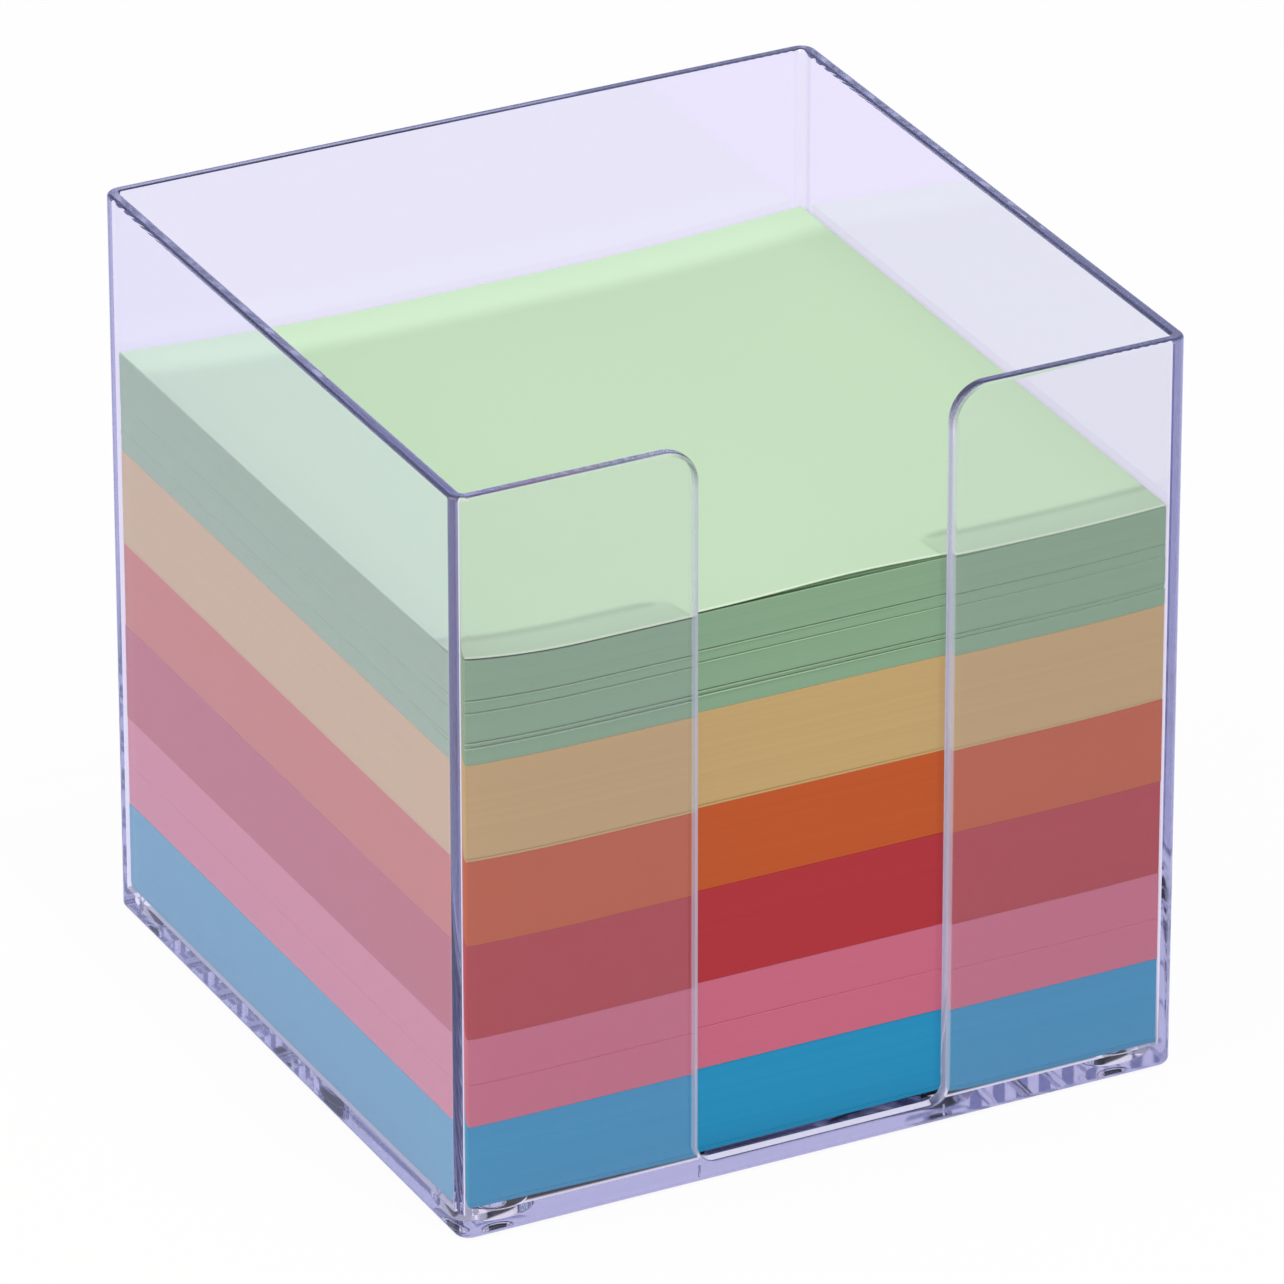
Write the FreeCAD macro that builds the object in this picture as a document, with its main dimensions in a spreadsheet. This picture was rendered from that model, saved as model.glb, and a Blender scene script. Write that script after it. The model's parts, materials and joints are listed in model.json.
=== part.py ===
import FreeCAD, Part
import os
import Sketcher

# Memo cube: a clear moulded box, open at the top, that holds loose square note paper.
# Millimetres. The origin is under the middle of the base, +Z is up, and the thumb slot faces -Y.

SIZES = {
    # note paper, and how far each sheaf lies out of line with the stack
    "paper_side": 90.0,
    "sheet_thickness": 0.1,
    "sheaf_jog": 0.12,
    # degrees from the direction of one sheaf's jog to that of the next one up
    "jog_turn": 137.5,
    # gaps between the paper and the walls
    "side_gap": 0.28,
    "front_gap": 0.46,
    "back_gap": 0.1,
    # the moulding
    "wall": 1.6,
    "box_height": 95.0,
    "floor_thickness": 2.7,
    "outer_corner_radius": 2.0,
    "inner_corner_radius": 0.5,
    "base_edge_radius": 0.8,
    "rim_edge_radius": 0.2,
    # thumb slot in the front wall, with its sill a little below the floor's top
    "slot_width": 33.0,
    "slot_shoulder_radius": 5.5,
    "slot_foot_radius": 2.0,
    "sill_drop": 0.65,
    # round well in each corner of the floor, with a boss that stays below the floor's top
    "well_radius": 4.6,
    "well_depth": 1.5,
    "well_margin": 0.2,
    "boss_radius": 1.9,
    "boss_drop": 0.4,
    # hairline that the mould leaves in the front face below each side of the slot
    "witness_width": 0.12,
    "witness_depth": 0.06,
}

# Blocks of one colour from the floor up, with the number of sheets in each sheaf.
BLOCKS = (
    ("blue", (6, 105)),
    ("pink", (53, 60)),
    ("red", (120,)),
    ("orange", (107,)),
    ("yellow", (3, 120)),
    ("green", (21, 6, 36, 15, 49)),
)

# Sizes that follow from the ones above.
DERIVED = {
    "sill_top": "=floor_thickness - sill_drop",
    "well_inset": "=wall + well_margin + well_radius",
    "boss_height": "=well_depth - boss_drop",
    "inside_width": "=paper_side + 2 * (sheaf_jog + side_gap)",
    "inside_depth": "=paper_side + 2 * sheaf_jog + front_gap + back_gap",
    "box_width": "=inside_width + 2 * wall",
    "box_depth": "=inside_depth + 2 * wall",
    "paper_setback": "=(front_gap - back_gap) / 2",
}

# Places on the model that agree to this are the same place.
SAME_PLACE = 1e-4

doc = FreeCAD.newDocument("memo_cube")
sheet = doc.addObject("Spreadsheet::Sheet", "sizes")


def fill_sheet():
    cells = dict(SIZES)
    for colour, counts in BLOCKS:
        for name, count in zip(sheaf_names(colour, counts), counts):
            cells[name + "_sheets"] = count
    cells.update(DERIVED)
    for row, (name, value) in enumerate(cells.items(), start=1):
        sheet.set("A%d" % row, name)
        sheet.set("B%d" % row, str(value))
        sheet.setAlias("B%d" % row, name)
    doc.recompute()


def sheaf_names(colour, counts):
    if len(counts) == 1:
        return [colour + "_sheaf"]
    return ["%s_sheaf_%d" % (colour, number + 1) for number in range(len(counts))]


def size(name):
    return float(sheet.get(name))


def new_sketch(body, name, role, offset=None):
    # A sketch on one of the body's own planes, lifted along the plane's normal by an expression.
    plane = next(item for item in body.Origin.OriginFeatures if item.Role == role)
    sketch = body.newObject("Sketcher::SketchObject", name)
    sketch.AttachmentSupport = [(plane, "")]
    sketch.MapMode = "FlatFace"
    if offset:
        sketch.setExpression("AttachmentOffset.Base.z", offset)
    return sketch


def bind(sketch, constraint, expression):
    index = sketch.addConstraint(constraint)
    sketch.setExpression("Constraints[%d]" % index, expression)


def add_rectangle(sketch, left, right, bottom, top):
    # A closed rectangle, drawn two units wide, whose sides the four expressions then place.
    corners = ((-1, -1), (1, -1), (1, 1), (-1, 1))
    first = sketch.GeometryCount
    for index in range(4):
        start = FreeCAD.Vector(*corners[index], 0)
        end = FreeCAD.Vector(*corners[(index + 1) % 4], 0)
        sketch.addGeometry(Part.LineSegment(start, end), False)
    for index in range(4):
        following = first + (index + 1) % 4
        sketch.addConstraint(Sketcher.Constraint("Coincident", first + index, 2, following, 1))
    for index in (0, 2):
        sketch.addConstraint(Sketcher.Constraint("Horizontal", first + index))
        sketch.addConstraint(Sketcher.Constraint("Vertical", first + index + 1))
    bind(sketch, Sketcher.Constraint("DistanceX", -1, 1, first, 1, -1.0), left)
    bind(sketch, Sketcher.Constraint("DistanceX", -1, 1, first + 1, 2, 1.0), right)
    bind(sketch, Sketcher.Constraint("DistanceY", -1, 1, first, 1, -1.0), bottom)
    bind(sketch, Sketcher.Constraint("DistanceY", -1, 1, first + 2, 1, 1.0), top)


def centred(width, depth):
    # The four sides of a rectangle about the origin.
    return ("-%s / 2" % width, "%s / 2" % width, "-%s / 2" % depth, "%s / 2" % depth)


def add_circle(sketch, radius, across, along):
    # A circle, drawn with a radius of one unit, whose size and centre the expressions then set.
    circle = Part.Circle(FreeCAD.Vector(1, 1, 0), FreeCAD.Vector(0, 0, 1), 1)
    index = sketch.addGeometry(circle, False)
    bind(sketch, Sketcher.Constraint("Radius", index, 1.0), radius)
    bind(sketch, Sketcher.Constraint("DistanceX", -1, 1, index, 3, 1.0), across)
    bind(sketch, Sketcher.Constraint("DistanceY", -1, 1, index, 3, 1.0), along)


def add_feature(body, kind, name, sketch, length):
    # A pad grows along its sketch's normal, and a pocket cuts against it.
    before = body.Tip.Shape.Volume if body.Tip else 0.0
    feature = body.newObject("PartDesign::" + kind, name)
    feature.Profile = sketch
    feature.setExpression("Length", length)
    doc.recompute()
    change = feature.Shape.Volume - before
    if near(change, 0) or (change > 0) != (kind == "Pad"):
        raise RuntimeError("%s changed the volume by %.4f" % (name, change))
    return feature


def add_fillet(body, base, name, radius, wanted):
    # Rounds every edge of the base for which the test is true.
    chosen = ["Edge%d" % (index + 1) for index, edge in enumerate(base.Shape.Edges) if wanted(edge)]
    if not chosen:
        raise RuntimeError("no edge to round for " + name)
    fillet = body.newObject("PartDesign::Fillet", name)
    fillet.Base = (base, chosen)
    fillet.setExpression("Radius", radius)
    doc.recompute()
    return fillet


def near(first, second):
    return abs(first - second) < SAME_PLACE


def spans(edge, axis):
    # How far an edge reaches along an axis, as its low and high ends.
    box = edge.BoundBox
    return (getattr(box, axis + "Min"), getattr(box, axis + "Max"))


def lies_at(edge, axis, place):
    low, high = spans(edge, axis)
    return near(low, place) and near(high, place)


def is_upright(edge):
    return near(edge.BoundBox.XLength, 0) and near(edge.BoundBox.YLength, 0)


def runs_through_wall(edge):
    return near(edge.BoundBox.XLength, 0) and near(edge.BoundBox.ZLength, 0)


def make_box():
    body = doc.addObject("PartDesign::Body", "clear_box")
    body.Label = "clear_box"
    add_walls(body)
    add_slot(body)
    round_rim(body)
    add_floor(body)
    add_witness_lines(body)
    return body


def add_walls(body):
    # A tube the whole height of the box. The floor closes it once the rim is rounded.
    outer = new_sketch(body, "outer_plan", "XY_Plane")
    add_rectangle(outer, *centred("sizes.box_width", "sizes.box_depth"))
    block = add_feature(body, "Pad", "outer_block", outer, "sizes.box_height")
    add_fillet(body, block, "outer_corners", "sizes.outer_corner_radius", is_upright)
    inner = new_sketch(body, "inner_plan", "XY_Plane", "sizes.box_height")
    add_rectangle(inner, *centred("sizes.inside_width", "sizes.inside_depth"))
    tube = add_feature(body, "Pocket", "paper_space", inner, "sizes.box_height")
    half_width = size("inside_width") / 2

    def inner_corner(edge):
        return is_upright(edge) and near(abs(edge.BoundBox.XMin), half_width)

    add_fillet(body, tube, "inner_corners", "sizes.inner_corner_radius", inner_corner)


def add_slot(body):
    # The sketch lies on the front face, with its second axis along Z, and runs past the rim.
    outline = new_sketch(body, "slot_outline", "XZ_Plane", "sizes.box_depth / 2")
    add_rectangle(outline, "-sizes.slot_width / 2", "sizes.slot_width / 2",
                  "sizes.sill_top", "sizes.box_height + sizes.wall")
    slot = add_feature(body, "Pocket", "thumb_slot", outline, "sizes.wall")
    half_slot = size("slot_width") / 2

    def slot_corner(edge, height):
        side = near(abs(edge.BoundBox.XMin), half_slot)
        return side and runs_through_wall(edge) and near(edge.BoundBox.ZMin, height)

    shoulders = add_fillet(body, slot, "slot_shoulders", "sizes.slot_shoulder_radius",
                           lambda edge: slot_corner(edge, size("box_height")))
    add_fillet(body, shoulders, "slot_feet", "sizes.slot_foot_radius",
               lambda edge: slot_corner(edge, size("sill_top")))


def round_rim(body):
    # Both edges of the rim, each one closed line that dips down the slot and along its sill.
    straight_to = size("box_width") / 2 - size("outer_corner_radius")

    def slot_edge(edge):
        front = lies_at(edge, "Y", -size("box_depth") / 2) or lies_at(edge, "Y", -size("inside_depth") / 2)
        low, high = spans(edge, "X")
        return front and low > -straight_to and high < straight_to and not near(edge.BoundBox.ZMin, 0)

    def rim_edge(edge):
        return lies_at(edge, "Z", size("box_height")) and not runs_through_wall(edge)

    add_fillet(body, body.Tip, "rim_edges", "sizes.rim_edge_radius",
               lambda edge: rim_edge(edge) or slot_edge(edge))


def add_floor(body):
    plan = new_sketch(body, "floor_plan", "XY_Plane")
    add_rectangle(plan, *centred("sizes.inside_width", "sizes.inside_depth"))
    floor = add_feature(body, "Pad", "floor", plan, "sizes.floor_thickness")
    add_fillet(body, floor, "base_edges", "sizes.base_edge_radius", lambda edge: lies_at(edge, "Z", 0))
    wells = new_sketch(body, "well_plan", "XY_Plane", "sizes.floor_thickness")
    bosses = new_sketch(body, "boss_plan", "XY_Plane", "sizes.floor_thickness - sizes.well_depth")
    for side in ("-", ""):
        for end in ("-", ""):
            across = side + "(sizes.box_width / 2 - sizes.well_inset)"
            along = end + "(sizes.box_depth / 2 - sizes.well_inset)"
            add_circle(wells, "sizes.well_radius", across, along)
            add_circle(bosses, "sizes.boss_radius", across, along)
    add_feature(body, "Pocket", "corner_wells", wells, "sizes.well_depth")
    add_feature(body, "Pad", "well_bosses", bosses, "sizes.boss_height")


def add_witness_lines(body):
    # The lines run from below the base up to where the sill's rounded edge starts.
    lines = new_sketch(body, "witness_plan", "XZ_Plane", "sizes.box_depth / 2")
    for side in ("-", ""):
        middle = side + "sizes.slot_width / 2"
        add_rectangle(lines, middle + " - sizes.witness_width / 2", middle + " + sizes.witness_width / 2",
                      "-sizes.wall", "sizes.sill_top - sizes.rim_edge_radius")
    add_feature(body, "Pocket", "witness_lines", lines, "sizes.witness_depth")


def make_paper():
    # Sheaves lie on each other from the floor up, each a little out of line with the one below.
    sheaves = []
    for colour, counts in BLOCKS:
        for name in sheaf_names(colour, counts):
            sheaves.append(add_sheaf(name, "sizes.%s_sheets" % name, sheaves))
    sheaves.append(add_sheaf("top_sheet", "1", sheaves))
    return sheaves


def add_sheaf(name, count, below):
    sheaf = doc.addObject("Part::Box", name)
    sheaf.Label = name
    sheaf.setExpression("Length", "sizes.paper_side")
    sheaf.setExpression("Width", "sizes.paper_side")
    sheaf.setExpression("Height", "%s * sizes.sheet_thickness" % count)
    turn = "sizes.jog_turn * %d" % len(below)
    corner = "-sizes.paper_side / 2 + sizes.sheaf_jog"
    sheaf.setExpression("Placement.Base.x", "%s * cos(%s)" % (corner, turn))
    sheaf.setExpression("Placement.Base.y", "%s * sin(%s) + sizes.paper_setback" % (corner, turn))
    base = "sizes.floor_thickness"
    if below:
        base = "{0}.Placement.Base.z + {0}.Height".format(below[-1].Name)
    sheaf.setExpression("Placement.Base.z", base)
    return sheaf


def check(pieces):
    doc.recompute()
    for item in doc.Objects:
        if "Invalid" in item.State or "Error" in item.State:
            raise RuntimeError("%s did not rebuild: %s" % (item.Label, item.State))
    for piece in pieces:
        if piece.Shape.isNull() or not piece.Shape.isValid():
            raise RuntimeError("bad shape: " + piece.Label)
        if len(piece.Shape.Solids) != 1:
            raise RuntimeError("%s is %d solids" % (piece.Label, len(piece.Shape.Solids)))


def write(pieces):
    os.makedirs("parts", exist_ok=True)
    for piece in pieces:
        piece.Shape.exportStep("parts/%s.step" % piece.Label)
        box = piece.Shape.optimalBoundingBox(False, False)
        print("%-16s %9.1f mm3  z %6.2f to %6.2f" % (piece.Label, piece.Shape.Volume, box.ZMin, box.ZMax))


fill_sheet()
pieces = [make_box()] + make_paper()
check(pieces)
write(pieces)
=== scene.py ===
import json
import math

import bmesh
import bpy
import numpy as np
from mathutils import Matrix, Vector
from mathutils.geometry import tessellate_polygon


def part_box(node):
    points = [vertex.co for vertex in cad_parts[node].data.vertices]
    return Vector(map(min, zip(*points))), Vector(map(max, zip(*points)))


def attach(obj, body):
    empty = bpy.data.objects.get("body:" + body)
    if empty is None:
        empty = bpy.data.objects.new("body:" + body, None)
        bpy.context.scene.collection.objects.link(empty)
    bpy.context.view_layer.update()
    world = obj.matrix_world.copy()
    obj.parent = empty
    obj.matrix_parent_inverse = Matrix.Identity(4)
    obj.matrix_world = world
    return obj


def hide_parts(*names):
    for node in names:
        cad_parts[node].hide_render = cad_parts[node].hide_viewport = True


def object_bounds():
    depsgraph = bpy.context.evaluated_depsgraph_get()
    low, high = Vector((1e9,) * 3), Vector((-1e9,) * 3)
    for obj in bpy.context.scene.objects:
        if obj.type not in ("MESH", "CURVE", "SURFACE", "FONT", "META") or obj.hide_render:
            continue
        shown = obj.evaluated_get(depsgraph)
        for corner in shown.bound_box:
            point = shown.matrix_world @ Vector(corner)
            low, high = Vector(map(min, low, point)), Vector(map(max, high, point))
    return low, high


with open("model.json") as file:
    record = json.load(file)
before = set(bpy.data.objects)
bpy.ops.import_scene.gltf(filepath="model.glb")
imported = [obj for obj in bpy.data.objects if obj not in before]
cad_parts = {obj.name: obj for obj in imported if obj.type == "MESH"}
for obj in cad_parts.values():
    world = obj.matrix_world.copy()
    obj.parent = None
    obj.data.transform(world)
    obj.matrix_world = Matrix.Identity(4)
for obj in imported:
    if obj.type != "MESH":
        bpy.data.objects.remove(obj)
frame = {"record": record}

cadLow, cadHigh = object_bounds()
mm = 0.001  # sizes below are in millimetres, and meshes in metres
weldDistance = 1e-6  # metres; seams closer than this are one point
scene = bpy.context.scene


def linearColour(hexText, alpha=1.0):
    # sRGB hex to linear: a straight foot below 0.04045 and a power of 2.4 above it
    parts = np.array([int(hexText[i:i + 2], 16) for i in (1, 3, 5)]) / 255.0
    linear = np.where(parts <= 0.04045, parts / 12.92, ((parts + 0.055) / 1.055) ** 2.4)
    return (*linear.tolist(), alpha)


def addNode(tree, kind, settings=None, links=None):
    # kind is the shader node's name; settings are its own options or its sockets' values; links are sockets
    # that feed it
    node = tree.nodes.new("ShaderNode" + kind)
    for key, value in (settings or {}).items():
        if isinstance(key, str) and hasattr(node, key):
            setattr(node, key, value)
        else:
            node.inputs[key].default_value = value
    for key, socket in (links or {}).items():
        tree.links.new(socket, node.inputs[key])
    return node


def newMaterial(name):
    material = bpy.data.materials.new(name)
    material.use_nodes = True
    material.node_tree.nodes.clear()
    return material, material.node_tree


def gridFaces(rows, columns, closed=False):
    # quads between neighbours of a grid whose points are numbered row by row; closed joins last column to
    # first
    across = np.arange(columns if closed else columns - 1)
    r, c = np.meshgrid(np.arange(rows - 1), across, indexing="ij")
    d = (c + 1) % columns
    here, above = r * columns, (r + 1) * columns
    return np.stack([here + c, here + d, above + d, above + c], -1).reshape(-1, 4)


def arcAngles(start, end, steps):
    return np.radians(np.linspace(start, end, steps + 1))


def addPiece(name, patches, material, body, nodes, tones):
    # joins patches of (points in mm, faces) into one mesh, welds their seams and turns all faces outwards;
    # tones are one value for each point, for the material to read, kept at the faces' corners so that
    # welding mixes none
    points = np.concatenate([patch[0] for patch in patches])
    starts = np.cumsum([0] + [len(patch[0]) for patch in patches])
    faces = [tuple(int(i) + int(start) for i in face)
             for start, patch in zip(starts, patches) for face in patch[1]]
    mesh = bpy.data.meshes.new(name)
    mesh.from_pydata((points * mm).tolist(), [], faces)
    corners = np.empty(len(mesh.loops), np.int32)
    mesh.loops.foreach_get("vertex_index", corners)
    tone = mesh.attributes.new("tone", "FLOAT", "CORNER")
    tone.data.foreach_set("value", tones[corners].astype(np.float32))
    shell = bmesh.new()
    shell.from_mesh(mesh)
    bmesh.ops.remove_doubles(shell, verts=shell.verts, dist=weldDistance)
    bmesh.ops.dissolve_degenerate(shell, edges=shell.edges, dist=weldDistance)
    bmesh.ops.recalc_face_normals(shell, faces=shell.faces)
    openEdges = sum(1 for edge in shell.edges if len(edge.link_faces) != 2)
    shell.to_mesh(mesh)
    shell.free()
    mesh.materials.append(material)
    piece = bpy.data.objects.new(name, mesh)
    scene.collection.objects.link(piece)
    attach(piece, body)
    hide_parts(*nodes)
    print("piece", name, len(mesh.polygons), "faces,", openEdges, "open edges")
    return piece


def smoothRounds(piece, sharpAngle):
    # roundings shade smoothly, flat faces stay flat, and edges past the angle stay sharp
    piece.data.shade_smooth()
    piece.data.set_sharp_from_angle(angle=math.radians(sharpAngle))
    weights = piece.modifiers.new("flatFacesFirst", "WEIGHTED_NORMAL")
    weights.keep_sharp = True
    weights.weight = 100


# Clear box: one polystyrene moulding

boxSizes = {
    "wall": 1.6, "floor": 2.7, "outerCorner": 2.0, "innerCorner": 0.5,
    "baseRound": 0.8, "rimRound": 0.5, "sillRound": 0.25,
    "slotWidth": 32.2, "slotRound": 0.78, "slotShoulder": 4.7, "slotFoot": 2.0, "frostFade": (0.6, 0.15),
    "sillDrop": 0.15, "rampDepth": 2.0, "rampPower": 8,
    "wellRadius": 4.6, "wellDepth": 1.5, "wellMargin": 0.2, "wellRound": 0.25,
    "bossRadius": 1.9, "bossDrop": 0.4, "hairWidth": 0.2, "hairDepth": 0.35, "hairTop": 2.3,
    "arcSteps": 14, "roundSteps": 8, "wellSteps": 64, "sharpAngle": 32,
}
boxHalf = (cadHigh - cadLow).x / 2 / mm
boxHeight = cadHigh.z / mm


def quarterOutline(half, corner):
    # right half of a rounded square, a quarter circle at its front and at its back, with the way out at
    # each point
    angles = [arcAngles(-90, 0, boxSizes["arcSteps"]), arcAngles(0, 90, boxSizes["arcSteps"])]
    straight = half - corner
    outwards = [np.stack([np.cos(a), np.sin(a)], -1) for a in angles]
    corners = [np.array([straight, -straight]), np.array([straight, straight])]
    points = np.concatenate([c + corner * way for c, way in zip(corners, outwards)])
    return points, np.concatenate(outwards)


def mirrored(right, signs):
    # the right half of a line, then its mirror image on the left, backwards, so that the line goes all round
    left = right[::-1] * np.array(signs)
    return np.concatenate([right, left])


def rimLine():
    # the line that the rim follows on the right: along the sill, round the slot's foot, up its side, round
    # its shoulder and along the rim. Each point has its place on the outer and inner face, the way out of
    # the wall, and the radius of its two edges, which grows round the foot and shrinks again round the
    # shoulder.
    s = boxSizes
    halfSlot, foot, shoulder = s["slotWidth"] / 2, s["slotFoot"], s["slotShoulder"]
    sill = s["floor"] - s["sillDrop"]
    # sine of the angle at which the inner edge meets the floor, from a square equation
    more, arm, rise = s["slotRound"] - s["sillRound"], foot + s["slotRound"], s["floor"] - sill - foot
    crossing = math.asin((math.sqrt(arm ** 2 + 4 * more * rise) - arm) / (2 * more))
    footAngles = np.unique(np.append(arcAngles(-90, 0, s["arcSteps"]), crossing))
    shoulderAngles = arcAngles(180, 90, s["arcSteps"] * 2)
    footWay = -np.stack([np.cos(footAngles), np.sin(footAngles)], -1)
    shoulderWay = np.stack([np.cos(shoulderAngles), np.sin(shoulderAngles)], -1)
    front = np.concatenate([np.array([halfSlot - foot, sill + foot]) - foot * footWay,
                            np.array([halfSlot + shoulder, boxHeight - shoulder]) + shoulder * shoulderWay])
    frontWay = np.concatenate([footWay, shoulderWay])
    outer, _ = quarterOutline(boxHalf, s["outerCorner"])
    inner, _ = quarterOutline(boxHalf - s["wall"], s["innerCorner"])
    onFront = np.ones(len(front))
    outerLine = np.concatenate([np.stack([front[:, 0], -boxHalf * onFront, front[:, 1]], -1),
                                np.column_stack([outer, np.full(len(outer), boxHeight)])])
    innerLine = np.concatenate([np.stack([front[:, 0], (s["wall"] - boxHalf) * onFront, front[:, 1]], -1),
                                np.column_stack([inner, np.full(len(inner), boxHeight)])])
    way = np.concatenate([np.stack([frontWay[:, 0], 0 * onFront, frontWay[:, 1]], -1),
                          np.tile([0.0, 0.0, 1.0], (len(outer), 1))])
    radius = np.interp(outerLine[:, 2], (sill, sill + foot, boxHeight - shoulder, boxHeight),
                       (s["sillRound"], s["slotRound"], s["slotRound"], s["rimRound"]))
    return outerLine, innerLine, way, radius, len(front)


def boxPatches():
    # the whole shell: the rim's profile carried along the rim line, the base's round carried along the
    # outline, flat walls and floor between these, and the wells turned about their middles
    s = boxSizes
    wall, floorTop = s["wall"], s["floor"]
    outerHalf, innerHalf, way, radius, frontCount = rimLine()
    outer, inner, way = (mirrored(line, (-1, 1, 1)) for line in (outerHalf, innerHalf, way))
    rim = np.concatenate([radius, radius[::-1]])
    total, half = len(outer), len(outerHalf)
    # rim: a strip across the wall with a quarter round at each edge, carried along the rim line
    turn = arcAngles(0, 90, s["roundSteps"])
    inwards = np.outer(1 - np.cos(turn), rim)
    across = np.concatenate([inwards, wall - inwards[::-1]])
    drop = np.outer(1 - np.sin(np.concatenate([turn, turn[::-1]])), rim)
    strip = outer + (inner - outer) * (across / wall)[..., None] - way * drop[..., None]
    patches = [(strip.reshape(-1, 3), gridFaces(len(across), total, closed=True))]
    outerEdge, innerEdge = strip[0], strip[-1]
    # the slot's ends, where the two halves of the tool met, are frosted; it fades where they turn into rim
    # and sill
    fade = np.where(outer[:, 2] < boxHeight / 2, *s["frostFade"])
    frost = np.tile(np.clip((1 - way[:, 2]) / fade, 0, 1), (len(across), 1))
    frost[[0, -1]] = 0
    # base: a quarter round under the outline, then one flat face
    outline, outwards = quarterOutline(boxHalf, s["outerCorner"])
    hair = s["slotWidth"] / 2 + np.array([-0.5, 0.5]) * s["hairWidth"]
    hairPoints = np.stack([hair, np.full(2, -boxHalf)], -1)
    loop = mirrored(np.concatenate([hairPoints, outline]), (-1, 1))
    loopWay = mirrored(np.concatenate([np.tile([0.0, -1.0], (2, 1)), outwards]), (-1, 1))
    base = s["baseRound"]
    inwards, height = base * (1 - np.cos(turn)), base * (1 - np.sin(turn))
    upwards = np.broadcast_to(height[:, None, None], (len(turn), len(loop), 1))
    skirt = np.concatenate([loop - loopWay * inwards[:, None, None], upwards], -1)
    patches.append((skirt.reshape(-1, 3), gridFaces(len(turn), len(loop), closed=True)))
    patches.append((skirt[-1], [range(len(loop))]))
    # walls: upright quads round the corners, and one flat face for each side, from the base or floor up to
    # the rim
    arc = s["arcSteps"] + 1
    baseLine = skirt[0]
    baseHalf = len(loop) // 2
    floorLine = np.column_stack([innerEdge[:, :2], np.full(total, floorTop)])
    for first in (frontCount, frontCount + arc):
        for side in (slice(first, first + arc), slice(total - first - arc, total - first)):
            begin = first + 2 - frontCount
            if side.start >= half:
                begin = len(loop) - begin - arc
            low = baseLine[begin:begin + arc]
            for bottom, top in ((low, outerEdge[side]), (floorLine[side], innerEdge[side])):
                patches.append((np.concatenate([bottom, top]), gridFaces(2, arc)))
    rightEnd, backEnd = frontCount + arc - 1, frontCount + arc
    for bottom, edge, offset in ((baseLine, outerEdge, 2 - frontCount), (floorLine, innerEdge, 0)):
        count = len(bottom)
        for a, b in ((rightEnd, backEnd), (half - 1, half), (total - 1 - backEnd, total - 1 - rightEnd)):
            a2, b2 = a + offset, b + offset
            if b >= half:
                a2, b2 = count - (total - a) - offset, count - (total - b) - offset
            if a == half - 1:
                a2, b2 = count // 2 - 1, count // 2
            patches.append((np.stack([bottom[a2], bottom[b2], edge[b], edge[a]]), [(0, 1, 2, 3)]))
    # front outer face, with a notch at each mould line, and the pocket behind each notch
    notch = np.column_stack([hair, np.full(2, -boxHalf), np.full(2, s["hairTop"])])
    low = baseLine[:2]
    leftOf = np.array([-1.0, 1.0, 1.0])
    edgeRight, edgeLeft = outerEdge[:frontCount + 1], outerEdge[total - frontCount - 1:]
    bottomRight = np.stack([low[0], notch[0], notch[1], low[1], baseLine[2]])
    outlineFront = np.concatenate([bottomRight, edgeRight[::-1], edgeLeft[::-1], bottomRight[::-1] * leftOf])
    patches.append((outlineFront, [range(len(outlineFront))]))
    mouth = np.stack([low[0], low[1], notch[1], notch[0]])
    for mirror in (np.ones(3), leftOf):
        pocket = np.concatenate([mouth, mouth + np.array([0, s["hairDepth"], 0])]) * mirror
        patches.append((pocket, [(4, 5, 6, 7), (0, 1, 5, 4), (1, 2, 6, 5), (2, 3, 7, 6), (3, 0, 4, 7)]))
    # front inner face: right and left of the slot above the floor, and a slope from the sill up to the floor
    above = innerEdge[:frontCount + 1]
    meets = int(np.argmin(np.abs(above[:, 2] - floorTop)))
    side = np.concatenate([above[meets:], floorLine[frontCount:frontCount + 1]])
    for mirror in (np.ones(3), leftOf):
        patches.append((side * mirror, [range(len(side))]))
    low = above[:meets + 1]
    depth = s["rampDepth"] * (1 - (low[:, 0] / low[-1, 0]) ** s["rampPower"])  # dies away at the slot's feet
    top = np.column_stack([low[:, 0], low[:, 1] + depth, np.full(len(low), floorTop)])
    ramp = np.concatenate([mirrored(line[::-1], (-1, 1, 1))[::-1] for line in (low, top)])
    patches.append((ramp, gridFaces(2, 2 * len(low))))
    # floor: one flat face with a round hole at each well, and the wells
    ring = arcAngles(0, 360, s["wellSteps"])[:-1]
    centre = boxHalf - wall - s["wellMargin"] - s["wellRadius"]
    profile = wellProfile()
    holes = []
    for x in (-1, 1):
        for y in (-1, 1):
            turned = profile[:, None, :1] * np.stack([np.cos(ring), np.sin(ring)], -1)
            heights = np.broadcast_to(profile[:, None, 1:], (*turned.shape[:2], 1))
            places = np.concatenate([turned + np.array([x, y]) * centre, heights], -1)
            holes.append(places[0])
            patches.append((places.reshape(-1, 3), gridFaces(len(profile), len(ring), closed=True)))
    rightFloor = np.concatenate([top, floorLine[frontCount:half]])
    flat = [mirrored(rightFloor, (-1, 1, 1))] + holes
    triangles = tessellate_polygon([[Vector(p) for p in line] for line in flat])
    patches.append((np.concatenate(flat), triangles))
    others = sum(len(patch[0]) for patch in patches[1:])
    return patches, np.concatenate([frost.reshape(-1), np.zeros(others)])


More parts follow.
